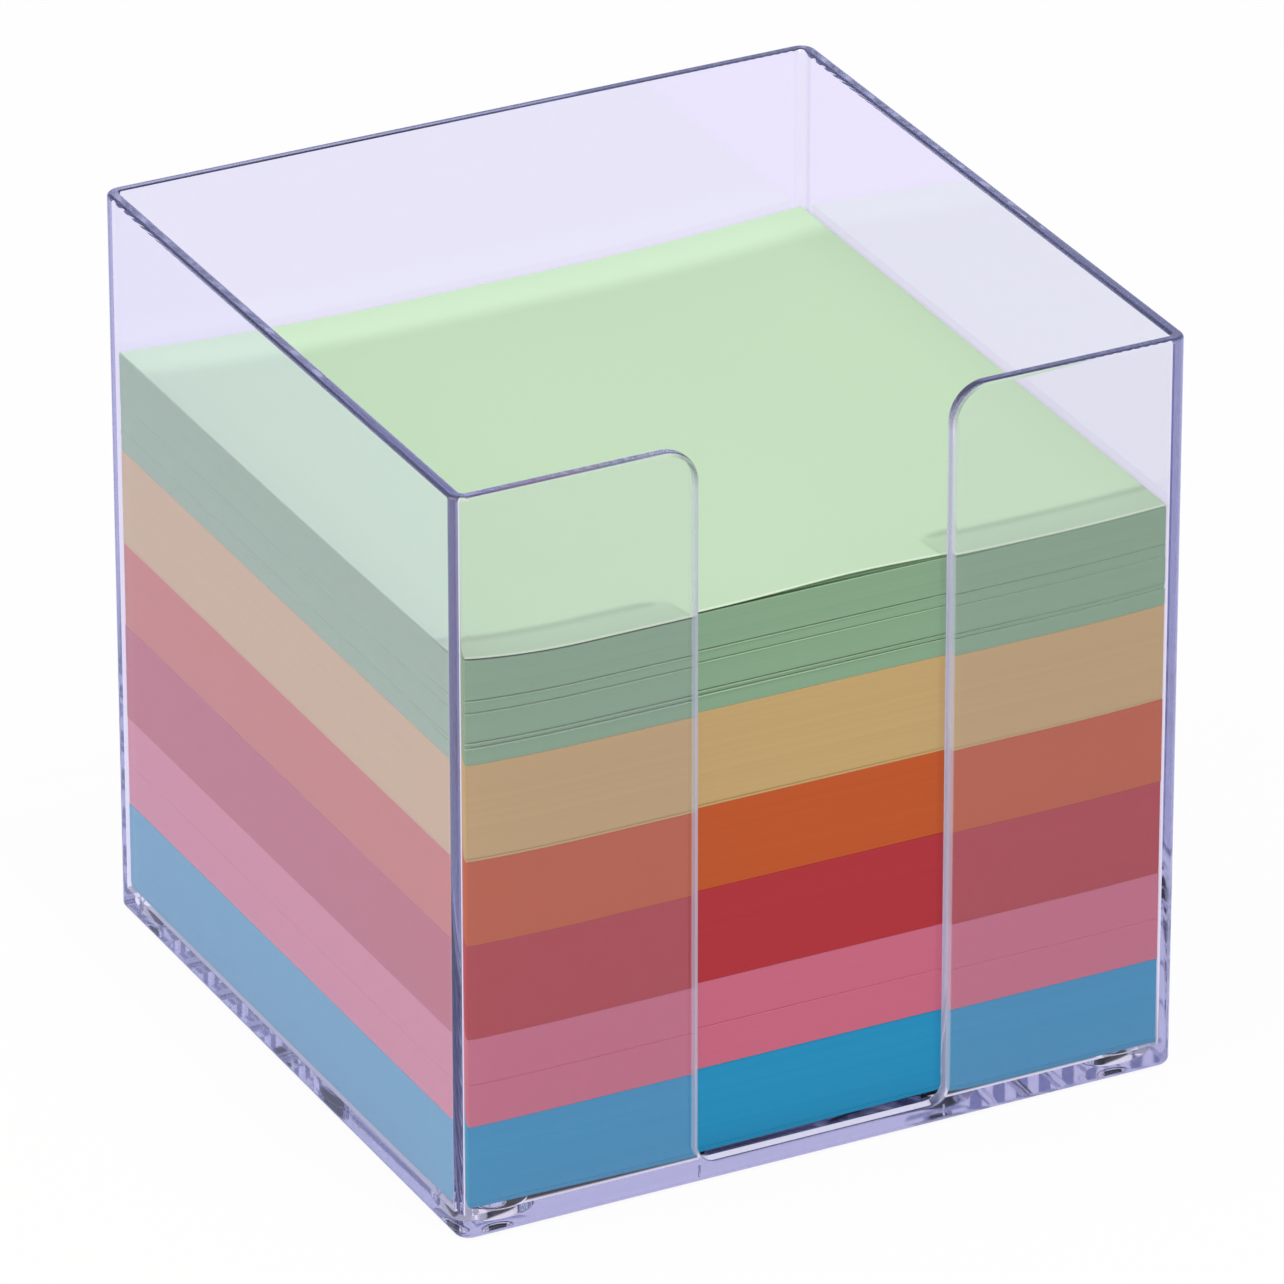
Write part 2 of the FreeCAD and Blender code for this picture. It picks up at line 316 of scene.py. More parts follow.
def wellProfile():
    # radius and height down the well's side, along its bottom, up the boss and over its top, with rounded
    # edges
    s = boxSizes
    top, bottom = s["floor"], s["floor"] - s["wellDepth"]
    bossTop, r = s["floor"] - s["bossDrop"], s["wellRound"]
    out, boss = s["wellRadius"], s["bossRadius"]
    turn = arcAngles(0, 90, s["roundSteps"])
    lip = np.stack([out + r - r * np.sin(turn), top - r + r * np.cos(turn)], -1)
    outerFoot = np.stack([out - r + r * np.cos(turn), bottom + r - r * np.sin(turn)], -1)
    innerFoot = np.stack([boss + r - r * np.sin(turn), bottom + r - r * np.cos(turn)], -1)
    crown = np.stack([boss - r + r * np.cos(turn), bossTop - r + r * np.sin(turn)], -1)
    return np.concatenate([lip, outerFoot, innerFoot, crown, [[0.0, bossTop]]])


plastic = {
    "absorb": "#A8AED8", "density": 10.0, "ior": 1.59, "roughness": 0.015,
    "lightThroughWall": "#FDFDFF", "lightThroughRim": "#404048", "slantPower": 4.0, "rimFacing": 0.7,
    "swell": 25.0, "swellStrength": 0.005, "swellHeight": 0.0004,
    # the frost's darker colour is a painted shade, used near the rim's height
    "frost": "#E6EAFF", "frostDark": "#5C6078", "frostShare": 0.42, "darkFrom": 0.0895, "darkTo": 0.0925,
}


def clearPolystyrene():
    # Crystal polystyrene, injection moulded in a polished tool: glass clear, glossy, with a faint violet
    # bluing dye that shows where the eye looks along the wall, so the edges go dark violet while the faces
    # stay clear.
    material, tree = newMaterial("clearPolystyreneMoulded")
    coords = addNode(tree, "TexCoord")
    # slow unevenness of a moulded wall, about 25 mm from swell to swell
    swell = addNode(tree, "TexNoise", {"Scale": 1 / (plastic["swell"] * mm), "Detail": 1.0},
                    {"Vector": coords.outputs["Object"]})
    bump = addNode(tree, "Bump", {"Strength": plastic["swellStrength"], "Distance": plastic["swellHeight"]},
                   {"Height": swell.outputs["Fac"]})
    clear = addNode(tree, "BsdfPrincipled", {
        "Base Color": linearColour("#FFFFFF"), "Transmission Weight": 1.0, "IOR": plastic["ior"],
        "Roughness": plastic["roughness"]}, {"Normal": bump.outputs["Normal"]})
    # frosted ends of the slot: part of the light is scattered; near the top, where they turn into the rim,
    # their colour is a painted shade
    tone = addNode(tree, "Attribute", {"attribute_name": "tone"})
    share = addNode(tree, "Math", {"operation": "MULTIPLY", 1: plastic["frostShare"]},
                    {0: tone.outputs["Fac"]})
    place = addNode(tree, "SeparateXYZ", None, {"Vector": coords.outputs["Object"]})
    # painted shade: the frosted colour darkens towards the rim's height
    high = addNode(tree, "MapRange", {1: plastic["darkFrom"], 2: plastic["darkTo"]}, {0: place.outputs["Z"]})
    frost = addNode(tree, "Mix", {"data_type": "RGBA", 6: linearColour(plastic["frost"]),
                                            7: linearColour(plastic["frostDark"])}, {0: high.outputs[0]})
    matt = addNode(tree, "BsdfDiffuse", None, {"Color": frost.outputs[2]})
    body = addNode(tree, "MixShader", None, {0: share.outputs[0], 1: clear.outputs[0], 2: matt.outputs[0]})
    # light on its way to the paper passes straight through the walls, a lamp's less at a slant, but light
    # that enters the rim is led away inside them
    path = addNode(tree, "LightPath")
    facing = addNode(tree, "LayerWeight", {"Blend": 0.5})
    slant = addNode(tree, "Math", {"operation": "POWER", 1: plastic["slantPower"]},
                    {0: facing.outputs["Facing"]})
    loss = addNode(tree, "Math", {"operation": "MULTIPLY"},
                   {0: slant.outputs[0], 1: path.outputs["Is Shadow Ray"]})
    wall = addNode(tree, "Mix", {"data_type": "RGBA", 6: linearColour(plastic["lightThroughWall"]),
                                 7: linearColour("#000000")}, {0: loss.outputs[0]})
    shape = addNode(tree, "NewGeometry")
    normal = addNode(tree, "SeparateXYZ", None, {"Vector": shape.outputs["True Normal"]})
    level = addNode(tree, "Math", {"operation": "ABSOLUTE"}, {0: normal.outputs["Z"]})
    upward = addNode(tree, "Math", {"operation": "GREATER_THAN", 1: plastic["rimFacing"]},
                     {0: level.outputs[0]})
    shade = addNode(tree, "Mix", {"data_type": "RGBA", 7: linearColour(plastic["lightThroughRim"])},
                    {0: upward.outputs[0], 6: wall.outputs[2]})
    passing = addNode(tree, "BsdfTransparent", None, {"Color": shade.outputs[2]})
    onItsWay = addNode(tree, "Math", {"operation": "MAXIMUM"},
                       {0: path.outputs["Is Shadow Ray"], 1: path.outputs["Is Diffuse Ray"]})
    either = addNode(tree, "MixShader", None, {
        0: onItsWay.outputs[0], 1: body.outputs[0], 2: passing.outputs[0]})
    dye = addNode(tree, "VolumeAbsorption", {
        "Color": linearColour(plastic["absorb"]), "Density": plastic["density"]})
    addNode(tree, "OutputMaterial", None, {"Surface": either.outputs[0], "Volume": dye.outputs[0]})
    return material


patches, tones = boxPatches()
box = addPiece("clear_box_moulding", patches, clearPolystyrene(), "box", ["clear_box"],
               tones)
smoothRounds(box, boxSizes["sharpAngle"])


# Note paper: sheaves of loose sheets, stepped at their edges and curled up at the sides

stack = {
    "sheet": 0.1, "pointsPerSide": 28, "slipSheets": (1, 5), "slipJog": 0.002, "mostJog": 0.01,
    # grooves and proud edges, with the strength of the painted highlight on a proud edge
    "grooveSheets": 2, "grooveDepth": 0.45, "proudEdge": 0.1, "litEdge": 0.35, "seed": 7, "airUnder": 0.05,
    "fadeFrom": -10.0, "fadeTo": 30.0, "fadeRest": 0.1,  # lines grow weaker to the right
    "turnTo": 5.0, "turnRest": 0.0,  # and soon after the front's corners
    "middle": (0.2, 0.18), "jogShare": 0.25,  # where the stack stands, and how much of its sheaves' jog shows
    # how far the corners of the upper sheets curl up, and where on each side the curl starts
    "frontLeft": 0.45, "frontRight": 0.35, "backLeft": 1.4, "backRight": 1.3,
    "curlStartFront": 30.0, "curlStartBack": 9.0, "curlFull": 48.0,
    # the topmost sheets curl more at the front left corner
    "cornerExtra": 0.8, "cornerFrom": 60.1, "cornerFull": 72.9,
    # the lowest sheets lift at the slot, more to its right, over this depth and height
    "footLift": 0.45, "footDepth": 6.0, "footHeight": 6.0, "footFrom": -17.0, "footTo": 17.0, "footFade": 3.0,
    "footCorner": 0.65, "footCornerDepth": 5.0,  # and at the front left corner
    # how strong the line above each sheaf shows: a proud edge with a painted highlight over a groove with
    # painted shade; a line below zero is a groove with painted shade cut into the sheaf itself
    "lines": {"pink_sheaf_1": 0.1, "yellow_sheaf_1": 0.15, "green_sheaf_1": 1.0,
              "green_sheaf_2": 0.8, "green_sheaf_3": 0.4, "green_sheaf_4": 0.8, "green_sheaf_5": -1.0},
}
sheetHalf = 45.0
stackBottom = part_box("blue_sheaf_1")[0].z / mm


def curl(x, y, z):
    # lift of a point of the stack: a square law from where the curl starts out to the side, its size
    # blended from front to back, growing with height from nothing at the floor; and a lift of the lowest
    # sheets, at the slot and at the front left corner, that grows along the front, and dies away to the
    # back and upwards
    s = stack
    back = np.clip((y + sheetHalf) / (2 * sheetHalf), 0, 1)
    start = s["curlStartFront"] + (s["curlStartBack"] - s["curlStartFront"]) * back
    reach = np.clip((np.abs(x) - start) / (sheetHalf - start), 0, None) ** 2
    left = s["frontLeft"] + (s["backLeft"] - s["frontLeft"]) * back
    right = s["frontRight"] + (s["backRight"] - s["frontRight"]) * back
    grown = np.clip((z - stackBottom) / (s["curlFull"] - stackBottom), 0, 1)
    extra = np.clip((z - s["cornerFrom"]) / (s["cornerFull"] - s["cornerFrom"]), 0, 1) ** 2
    corner = s["cornerExtra"] * extra * (1 - back) ** 3 * (x < 0)
    foot = s["footLift"] * np.clip((x - s["footFrom"]) / (s["footTo"] - s["footFrom"]), 0, 1)
    foot = foot * np.clip((s["footTo"] - x) / s["footFade"] + 1, 0, 1)
    foot = foot * np.exp(-(y + sheetHalf) / s["footDepth"])
    bottomLeft = s["footCorner"] * np.clip((s["footFrom"] - x) / (s["footFrom"] + sheetHalf), 0, 1)
    foot = foot + bottomLeft * np.exp(-(y + sheetHalf) / s["footCornerDepth"])
    foot = foot * np.clip(1 - (z - stackBottom) / s["footHeight"], 0, 1) ** 2
    return reach * (np.where(x < 0, left, right) * grown + corner) + foot


def placed(low, high):
    # middle of a sheaf on the table's plane, with part of its jog
    return np.array(stack["middle"]) + stack["jogShare"] * ((low + high)[:2] / 2 - np.array(stack["middle"]))


def squareLoop(count):
    # points along the four sides of a square of half-width one, once round
    t = np.linspace(-1, 1, count + 1)[:-1]
    one = np.ones(count)
    return np.concatenate([np.stack(side, -1) for side in ((t, -one), (one, t), (-t, one), (-one, -t))])


def lineStrength(square):
    # how strong lines show at a point of a square of half-width one
    s = stack
    across, along = (square * sheetHalf).T
    toRight = np.interp(across, (s["fadeFrom"], s["fadeTo"]), (1, s["fadeRest"]))
    return toRight * np.interp(along, (-sheetHalf, s["turnTo"] - sheetHalf), (1, s["turnRest"]))


def sheafPatches(node, random, lineBelow, lineAbove):
    # edge of a sheaf: slips of a few sheets, each a little out of line, as a stepped profile carried round
    # the square; a cap closes it above and below. All of it is lifted by the curl.
    low, high = (np.array(corner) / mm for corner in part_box(node))
    middle = placed(low, high)
    sheets = round((high[2] - low[2]) / stack["sheet"])
    cuts = np.cumsum(random.integers(*stack["slipSheets"], sheets))
    groove = min(stack["grooveSheets"], sheets - 1)
    last = sheets - (groove if lineAbove < 0 else 1)
    inside = cuts[(cuts > groove) & (cuts < last)]
    cuts = np.unique(np.concatenate([[0, groove], inside, [last, sheets]]))
    slips = len(cuts) - 1
    jog = np.clip(random.normal(0, stack["slipJog"], (slips, 2)), -stack["mostJog"], stack["mostJog"])
    grow, lit = np.zeros(slips), np.zeros(slips)
    grow[-1] = lineAbove * stack["proudEdge" if lineAbove > 0 else "grooveDepth"]
    grow[0] = -lineBelow * stack["grooveDepth"]
    # painted highlight on a proud top slip, painted shade on a grooved slip
    lit[-1] = lineAbove * (stack["litEdge"] if lineAbove > 0 else 1)
    lit[0] = -lineBelow
    # tones from nought to one are plain edges, past one they take a painted highlight, and below nought a
    # painted shade
    tone = random.uniform(0, 1, slips) * (lit == 0) + (lit > 0)
    rowJog, rowGrow, rowLit, rowTone = (np.repeat(values, 2, 0) for values in (jog, grow, lit, tone))
    heights = low[2] + stack["sheet"] * np.stack([cuts[:-1], cuts[1:]], -1).reshape(-1)
    heights[0] += stack["airUnder"]  # rough paper on a polished floor leaves air between them
    count = stack["pointsPerSide"]
    loop = squareLoop(count)
    weaker = lineStrength(loop)
    flat = middle + loop * (sheetHalf + np.outer(rowGrow, weaker)[..., None]) + rowJog[:, None, :]
    side = np.concatenate([flat, np.broadcast_to(heights[:, None, None], (*flat.shape[:2], 1))], -1)
    t = np.linspace(-1, 1, count + 1)
    across, along = np.meshgrid(t, t, indexing="ij")
    square = np.stack([across, along], -1).reshape(-1, 2)
    spread = lineStrength(square)[:, None]
    caps = [np.column_stack([middle + square * (sheetHalf + rowGrow[row] * spread) + rowJog[row],
                             np.full(len(square), heights[row])]) for row in (0, -1)]
    patches = [(side.reshape(-1, 3), gridFaces(len(heights), len(loop), closed=True))]
    patches += [(cap, gridFaces(count + 1, count + 1)) for cap in caps]
    sideTones = rowTone[:, None] + np.outer(rowLit, weaker)
    tones = np.concatenate([sideTones.reshape(-1)] + [np.full(len(square), rowTone[row]) for row in (0, -1)])
    for points, _ in patches:
        points[:, 2] += curl(points[:, 0], points[:, 1], points[:, 2])
    return patches, tones


# face of a sheet, cut edge (darker, partly its own colour and partly painted shade between sheets), the tone
# between two edges, a painted highlight for an edge that stands proud, and a painted shade for one deep in a
# groove
paperColours = {
    "paper_blue": ("#43B3E6", "#34ADE0", "#30A6D9", "#6CC6F0", "#1F6E96"),
    "paper_pink": ("#F390A8", "#EA7D97", "#E87B95", "#F8A8BA", "#A04860"),
    "paper_red": ("#D64F57", "#CF424A", "#CC4048", "#E06B72", "#802028"),
    "paper_orange": ("#E97A48", "#E06A39", "#DB6635", "#F09068", "#8A3C18"),
    "paper_yellow": ("#EDCE93", "#E6C286", "#E0BC80", "#F8E0B0", "#947038"),
    "paper_green": ("#C6E2C2", "#A1C6A1", "#9BC09B", "#E4F6DC", "#3C663C"),
}
paper = {
    "roughness": (0.84, 0.94), "specular": 0.2, "streakLength": 14.0, "streakWidth": 0.3, "fibre": 0.45,
    "streakShare": 0.5, "bumpStrength": 0.06, "bumpHeight": 0.00003, "faceFrom": 0.6,
}


def notePaper(name):
    # Uncoated wood-free paper, dyed in the mass and cut in a guillotine: matt, even colour, with fine
    # streaks along the cut edges where one sheet ends and the next begins. The cut edges are darker than the
    # faces, partly in their own colour and partly as painted shade of the fine gaps between the sheets.
    material, tree = newMaterial(name + "Uncoated")
    face, edge, between, lit, paintedShadeColour = (linearColour(text) for text in paperColours[name])
    coords = addNode(tree, "TexCoord")
    # one sheet is 0.1 mm and too fine to show, so streaks are drawn three sheets wide
    length, width = paper["streakLength"] * mm, paper["streakWidth"] * mm
    scale = (1 / length, 1 / length, 1 / width)
    stretched = addNode(tree, "Mapping", {"Scale": scale}, {"Vector": coords.outputs["Object"]})
    streak = addNode(tree, "TexNoise", {"Scale": 1.0, "Detail": 3.0}, {"Vector": stretched.outputs[0]})
    fibre = addNode(tree, "TexNoise", {"Scale": 1 / (paper["fibre"] * mm), "Detail": 2.0},
                    {"Vector": coords.outputs["Object"]})
    tone = addNode(tree, "Attribute", {"attribute_name": "tone"})
    blended = addNode(tree, "Mix", {"data_type": "FLOAT", 0: paper["streakShare"]},
                      {2: tone.outputs["Fac"], 3: streak.outputs["Fac"]})
    edges = addNode(tree, "Mix", {"data_type": "RGBA", 6: between, 7: edge}, {0: blended.outputs[0]})
    # cut edges take a darker colour than faces, partly their own and partly a painted shade of the gaps
    # between sheets
    normal = addNode(tree, "SeparateXYZ", None, {"Vector": coords.outputs["Normal"]})
    level = addNode(tree, "Math", {"operation": "ABSOLUTE"}, {0: normal.outputs["Z"]})
    isFace = addNode(tree, "Math", {"operation": "GREATER_THAN", 1: paper["faceFrom"]}, {0: level.outputs[0]})
    plain = addNode(tree, "Mix", {"data_type": "RGBA", 7: face}, {0: isFace.outputs[0], 6: edges.outputs[2]})
    # painted highlight on cut edges that stand proud, and painted shade on the ones that lie deep between two
    # sheaves
    paintedHighlightShare = addNode(tree, "MapRange", {1: 1.0, 2: 2.0}, {0: tone.outputs["Fac"]})
    withPaintedHighlight = addNode(tree, "Mix", {"data_type": "RGBA", 7: lit}, {0: paintedHighlightShare.outputs[0], 6: plain.outputs[2]})
    paintedShadeShare = addNode(tree, "MapRange", {1: 0.0, 2: -1.0}, {0: tone.outputs["Fac"]})
    colour = addNode(tree, "Mix", {"data_type": "RGBA", 7: paintedShadeColour},
                     {0: paintedShadeShare.outputs[0], 6: withPaintedHighlight.outputs[2]})
    rough = addNode(tree, "MapRange", {3: paper["roughness"][0], 4: paper["roughness"][1]},
                    {0: fibre.outputs["Fac"]})
    relief = addNode(tree, "Math", {"operation": "ADD"}, {0: streak.outputs["Fac"], 1: fibre.outputs["Fac"]})
    bump = addNode(tree, "Bump", {"Strength": paper["bumpStrength"], "Distance": paper["bumpHeight"]},
                   {"Height": relief.outputs[0]})
    surface = addNode(tree, "BsdfPrincipled", {"Specular IOR Level": paper["specular"]}, {
        "Base Color": colour.outputs[2], "Roughness": rough.outputs[0], "Normal": bump.outputs["Normal"]})
    addNode(tree, "OutputMaterial", None, {"Surface": surface.outputs[0]})
    return material


slotOf = {part["node"]: part["material_slot"] for part in frame["record"]["subparts"]}
paperMaterials = {name: notePaper(name) for name in paperColours}
bodyNodes = frame["record"]["behaviour"]["bodies"]
sheafBodies = [body for body in bodyNodes if body not in ("box", "loose_sheet")]
random = np.random.default_rng(stack["seed"])
for body in sheafBodies:
    nodes = bodyNodes[body]
    for below, node in zip([""] + nodes, nodes):
        patches, tones = sheafPatches(node, random, stack["lines"].get(below, 0), stack["lines"].get(node, 0))
        addPiece(node + "_sheets", patches, paperMaterials[slotOf[node]], body, [node], tones)

topSheet = {
    "rise": 0.08, "points": 72, "sharpAngle": 40,  # rests on the stack, with air for its own unevenness
    "archHeight": 0.5, "archMiddle": 5.0, "archWidth": 11.0, "archDepth": 9.0,
    # the pale line along the front cut edge is a painted highlight
    "paleEdge": 0.5, "paleTone": 2.6, "plainTone": 0.85,  # width of the pale line along the cut edge
}


def topSheetPatches():
    # a square sheet: the stack's curl, and a bell-shaped arch at the slot that dies away to the back. Its
    # two faces are one sheet apart, and a strip joins their edges.
    s = topSheet
    low, high = (np.array(corner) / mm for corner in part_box("top_sheet"))
    middle = placed(low, high)
    rest = 1 - s["paleEdge"] / sheetHalf
    t = np.concatenate([[-1], np.linspace(-rest, rest, s["points"] - 1), [1]])
    across, along = np.meshgrid(t * sheetHalf + middle[0], t * sheetHalf + middle[1], indexing="ij")
    fromFront = along - along.min()
    bell = -((across - s["archMiddle"]) / s["archWidth"]) ** 2
    arch = s["archHeight"] * np.exp(bell - fromFront / s["archDepth"])
    lift = curl(across, along, np.full_like(across, low[2])) + s["rise"] + arch
    faces = [np.stack([across, along, level + lift], -1).reshape(-1, 3) for level in (low[2], high[2])]
    count = s["points"] + 1
    rim = np.arange(count * count).reshape(count, count)
    border = np.concatenate([rim[0, :-1], rim[:-1, -1], rim[-1, :0:-1], rim[:0:-1, 0]])
    edge = np.concatenate([face[border] for face in faces])
    patches = [(face, gridFaces(count, count)) for face in faces]
    patches.append((edge, gridFaces(2, len(border), closed=True)))
    tones = np.full((count, count), s["plainTone"])
    # painted highlight: the front cut edge takes the paper's lit colour
    tones[:, 0] = s["paleTone"]
    tones = tones.reshape(-1)
    return patches, np.concatenate([tones, tones, tones[border], tones[border]])


patches, tones = topSheetPatches()
top = addPiece("top_sheet_curled", patches, paperMaterials["paper_green"], "loose_sheet", ["top_sheet"],
               tones)
smoothRounds(top, topSheet["sharpAngle"])


# Stage: pale floor, soft light and camera

stage = {
    "floorSize": 6.0, "floorDrop": 0.0002, "floorColour": "#FAFAFA", "floorToPaper": "#A8A8AC",
    "seenWhite": "#FFFFFF", "seenThrough": "#EDE7FF", "glossBehind": "#D4D9FF", "glossInFront": "#95939A",
    "frontFrom": -0.06, "frontTo": -0.04, "shareOfWhite": 0.95,
    # painted light and shade seen through the base: painted light at the gap in front and behind, painted
    # shade at the gap left and right and under near and far walls, and a painted shadow of the box to its
    # right
    "underGap": "#EEE9FF", "underSideGap": "#A8A6C0", "underWall": "#B4B2CC", "underFarWall": "#7C7C86",
    "besideBox": "#8E8EA6", "besideFrom": 0.048, "besideTo": 0.062,
    "paperTo": 0.0428, "gapFrom": 0.0432, "gapTo": 0.0454,
    "wallFrom": 0.0456, "wallTo": 0.0470, "openFrom": 0.0475,
    "nearSide": -0.01, "farSide": 0.01,
    "skyLight": 0.42, "skyColour": "#F8F8FF", "lampAim": 0.7,  # share of the box's height
}


def seenRays(tree):
    # one where the floor or sky is seen by the eye, straight, mirrored or through clear plastic, and not by
    # paper
    path = addNode(tree, "LightPath")
    clear = addNode(tree, "Math", {"operation": "MAXIMUM"},
                    {0: path.outputs["Is Glossy Ray"], 1: path.outputs["Is Transmission Ray"]})
    seen = addNode(tree, "Math", {"operation": "MAXIMUM"},
                   {0: path.outputs["Is Camera Ray"], 1: clear.outputs[0]})
    early = addNode(tree, "Math", {"operation": "LESS_THAN", 1: 0.5}, {0: path.outputs["Diffuse Depth"]})
    direct = addNode(tree, "Math", {"operation": "MULTIPLY"}, {0: seen.outputs[0], 1: early.outputs[0]})
    return path, direct.outputs[0]


def seenColour(tree, path, parts=None):
    # white to the camera, pale blue in reflections and faintly violet through the plastic, unless parts
    # feed these two
    inGloss = addNode(tree, "Mix", {"data_type": "RGBA", 6: linearColour(stage["seenWhite"]),
                                    7: linearColour(stage["glossBehind"])},
                      {0: path.outputs["Is Glossy Ray"]})
    through = addNode(tree, "Mix", {"data_type": "RGBA", 7: linearColour(stage["seenThrough"])},
                      {0: path.outputs["Is Transmission Ray"], 6: inGloss.outputs[2]})
    for node, socket in zip((inGloss, through), parts or ()):
        tree.links.new(socket, node.inputs[7])
    return through.outputs[2]


def makeFloor():
    # flat sheet under the box, white to the eye, with a share of real shading that keeps the shadow
    half = stage["floorSize"] / 2
    corners = np.array([[-half, -half], [half, -half], [half, half], [-half, half]])
    mesh = bpy.data.meshes.new("floor")
    mesh.from_pydata(np.column_stack([corners, np.full(4, -stage["floorDrop"])]).tolist(), [], [(0, 1, 2, 3)])
    material, tree = newMaterial("paleFloor")
    path, direct = seenRays(tree)
    # painted shade: the floor on the viewer's side is darker in reflections, as a room is dimmer there
    coords = addNode(tree, "TexCoord")
    place = addNode(tree, "SeparateXYZ", None, {"Vector": coords.outputs["Object"]})
    behind = addNode(tree, "MapRange", {1: stage["frontFrom"], 2: stage["frontTo"]}, {0: place.outputs["Y"]})
    gloss = addNode(tree, "Mix", {"data_type": "RGBA", 6: linearColour(stage["glossInFront"]),
                                            7: linearColour(stage["glossBehind"])}, {0: behind.outputs[0]})
    # painted light and shade for what is seen through the base: painted light where the gap round the paper
    # lets light down, painted shade under the walls, darker on the far sides, a painted shadow of the box to
    # its right, and open beyond
    sideways = addNode(tree, "Math", {"operation": "ABSOLUTE"}, {0: place.outputs["X"]})
    endways = addNode(tree, "Math", {"operation": "ABSOLUTE"}, {0: place.outputs["Y"]})
    out = addNode(tree, "Math", {"operation": "MAXIMUM"}, {0: sideways.outputs[0], 1: endways.outputs[0]})
    corner = addNode(tree, "Math", {"operation": "ADD"}, {0: place.outputs["X"], 1: place.outputs["Y"]})
    far = addNode(tree, "MapRange", {1: stage["nearSide"], 2: stage["farSide"]}, {0: corner.outputs[0]})
    wall = addNode(tree, "Mix", {"data_type": "RGBA", 6: linearColour(stage["underWall"]),
                                           7: linearColour(stage["underFarWall"])}, {0: far.outputs[0]})
    paintedShadowMask = addNode(tree, "MapRange", {1: stage["besideFrom"], 2: stage["besideTo"]},
                     {0: place.outputs["X"]})
    shadow = addNode(tree, "Mix", {"data_type": "RGBA", 6: linearColour(stage["besideBox"]),
                                             7: linearColour(stage["seenThrough"])}, {0: paintedShadowMask.outputs[0]})
    right = addNode(tree, "Math", {"operation": "GREATER_THAN", 1: stage["wallTo"]}, {0: place.outputs["X"]})
    abreast = addNode(tree, "Math", {"operation": "LESS_THAN", 1: stage["wallTo"]}, {0: endways.outputs[0]})
    onRight = addNode(tree, "Math", {"operation": "MULTIPLY"}, {0: right.outputs[0], 1: abreast.outputs[0]})
    around = addNode(tree, "Mix", {"data_type": "RGBA", 6: linearColour(stage["seenThrough"])},
                     {0: onRight.outputs[0], 7: shadow.outputs[2]})
    past = [addNode(tree, "MapRange", {1: stage[a], 2: stage[b]}, {0: out.outputs[0]}).outputs[0]
            for a, b in (("paperTo", "gapFrom"), ("gapTo", "wallFrom"), ("wallTo", "openFrom"))]
    atSides = addNode(tree, "Math", {"operation": "GREATER_THAN"},
                      {0: sideways.outputs[0], 1: endways.outputs[0]})
    paintedGapLightAndShade = addNode(tree, "Mix", {"data_type": "RGBA", 6: linearColour(stage["underGap"]),
                                          7: linearColour(stage["underSideGap"])}, {0: atSides.outputs[0]})
    toWall = addNode(tree, "Mix", {"data_type": "RGBA"}, {0: past[1], 6: paintedGapLightAndShade.outputs[2], 7: wall.outputs[2]})
    through = addNode(tree, "Mix", {"data_type": "RGBA"},
                      {0: past[2], 6: toWall.outputs[2], 7: around.outputs[2]})
    shade = addNode(tree, "Mix", {"data_type": "RGBA", 6: linearColour(stage["floorToPaper"]),
                                            7: linearColour(stage["floorColour"])}, {0: direct})
    matt = addNode(tree, "BsdfDiffuse", None, {"Color": shade.outputs[2]})
    seen = seenColour(tree, path, (gloss.outputs[2], through.outputs[2]))
    white = addNode(tree, "Emission", {"Strength": 1.0}, {"Color": seen})
    portion = addNode(tree, "MapRange", {3: stage["shareOfWhite"], 4: 1.0},
                      {0: path.outputs["Is Transmission Ray"]})
    share = addNode(tree, "Math", {"operation": "MULTIPLY"}, {0: direct, 1: portion.outputs[0]})
    # under the paper, what is seen through the base is the floor's real shade, so it clears when the paper
    # is lifted
    straight = addNode(tree, "Math", {"operation": "SUBTRACT", 0: 1.0},
                       {1: path.outputs["Is Transmission Ray"]})
    unshaded = addNode(tree, "Math", {"operation": "MAXIMUM"}, {0: past[0], 1: straight.outputs[0]})
    glowing = addNode(tree, "Math", {"operation": "MULTIPLY"}, {0: share.outputs[0], 1: unshaded.outputs[0]})
    both = addNode(tree, "MixShader", None, {0: glowing.outputs[0], 1: matt.outputs[0], 2: white.outputs[0]})
    addNode(tree, "OutputMaterial", None, {"Surface": both.outputs[0]})
    material.cycles.emission_sampling = "NONE"
    mesh.materials.append(material)
    floor = bpy.data.objects.new("floor", mesh)
    scene.collection.objects.link(floor)


def makeSky():
    # even light from all round
    world = bpy.data.worlds.new("paleRoom")
    world.use_nodes = True
    scene.world = world
    tree = world.node_tree
    tree.nodes.clear()
    path, direct = seenRays(tree)
    light = addNode(tree, "Background", {"Color": linearColour(stage["skyColour"]),
                                         "Strength": stage["skyLight"]})
    white = addNode(tree, "Background", {"Strength": 1.0}, {"Color": seenColour(tree, path)})
    both = addNode(tree, "MixShader", None, {0: direct, 1: light.outputs[0], 2: white.outputs[0]})
    addNode(tree, "OutputWorld", None, {"Surface": both.outputs[0]})
    world.cycles.sampling_method = "NONE"  # so that its light goes through the walls by refraction alone


lamps = {  # azimuth and height in degrees, distance and size in metres, power in watts
    "keyLamp": {"azimuth": 7.0, "height": 71.5, "distance": 1.2, "size": 0.05, "power": 3.6},
    "softLamp": {"azimuth": 0.0, "height": 90.0, "distance": 1.2, "size": 0.8, "power": 2.4},
    "fillLamp": {"azimuth": -15.0, "height": 22.0, "distance": 1.6, "size": 1.4, "power": 6.65},
    "sideLamp": {"azimuth": -95.0, "height": 25.0, "distance": 1.6, "size": 1.4, "power": 10.3,
                 "colour": "#FFF4CE"},
}
mirrorLamp = {"azimuth": 180.0, "height": 64.4, "distance": 1.2, "power": 18.0, "radius": 0.001, "cone": 7.0,
              "across": 0.0375, "down": 0.029, "soft": 0.0024}


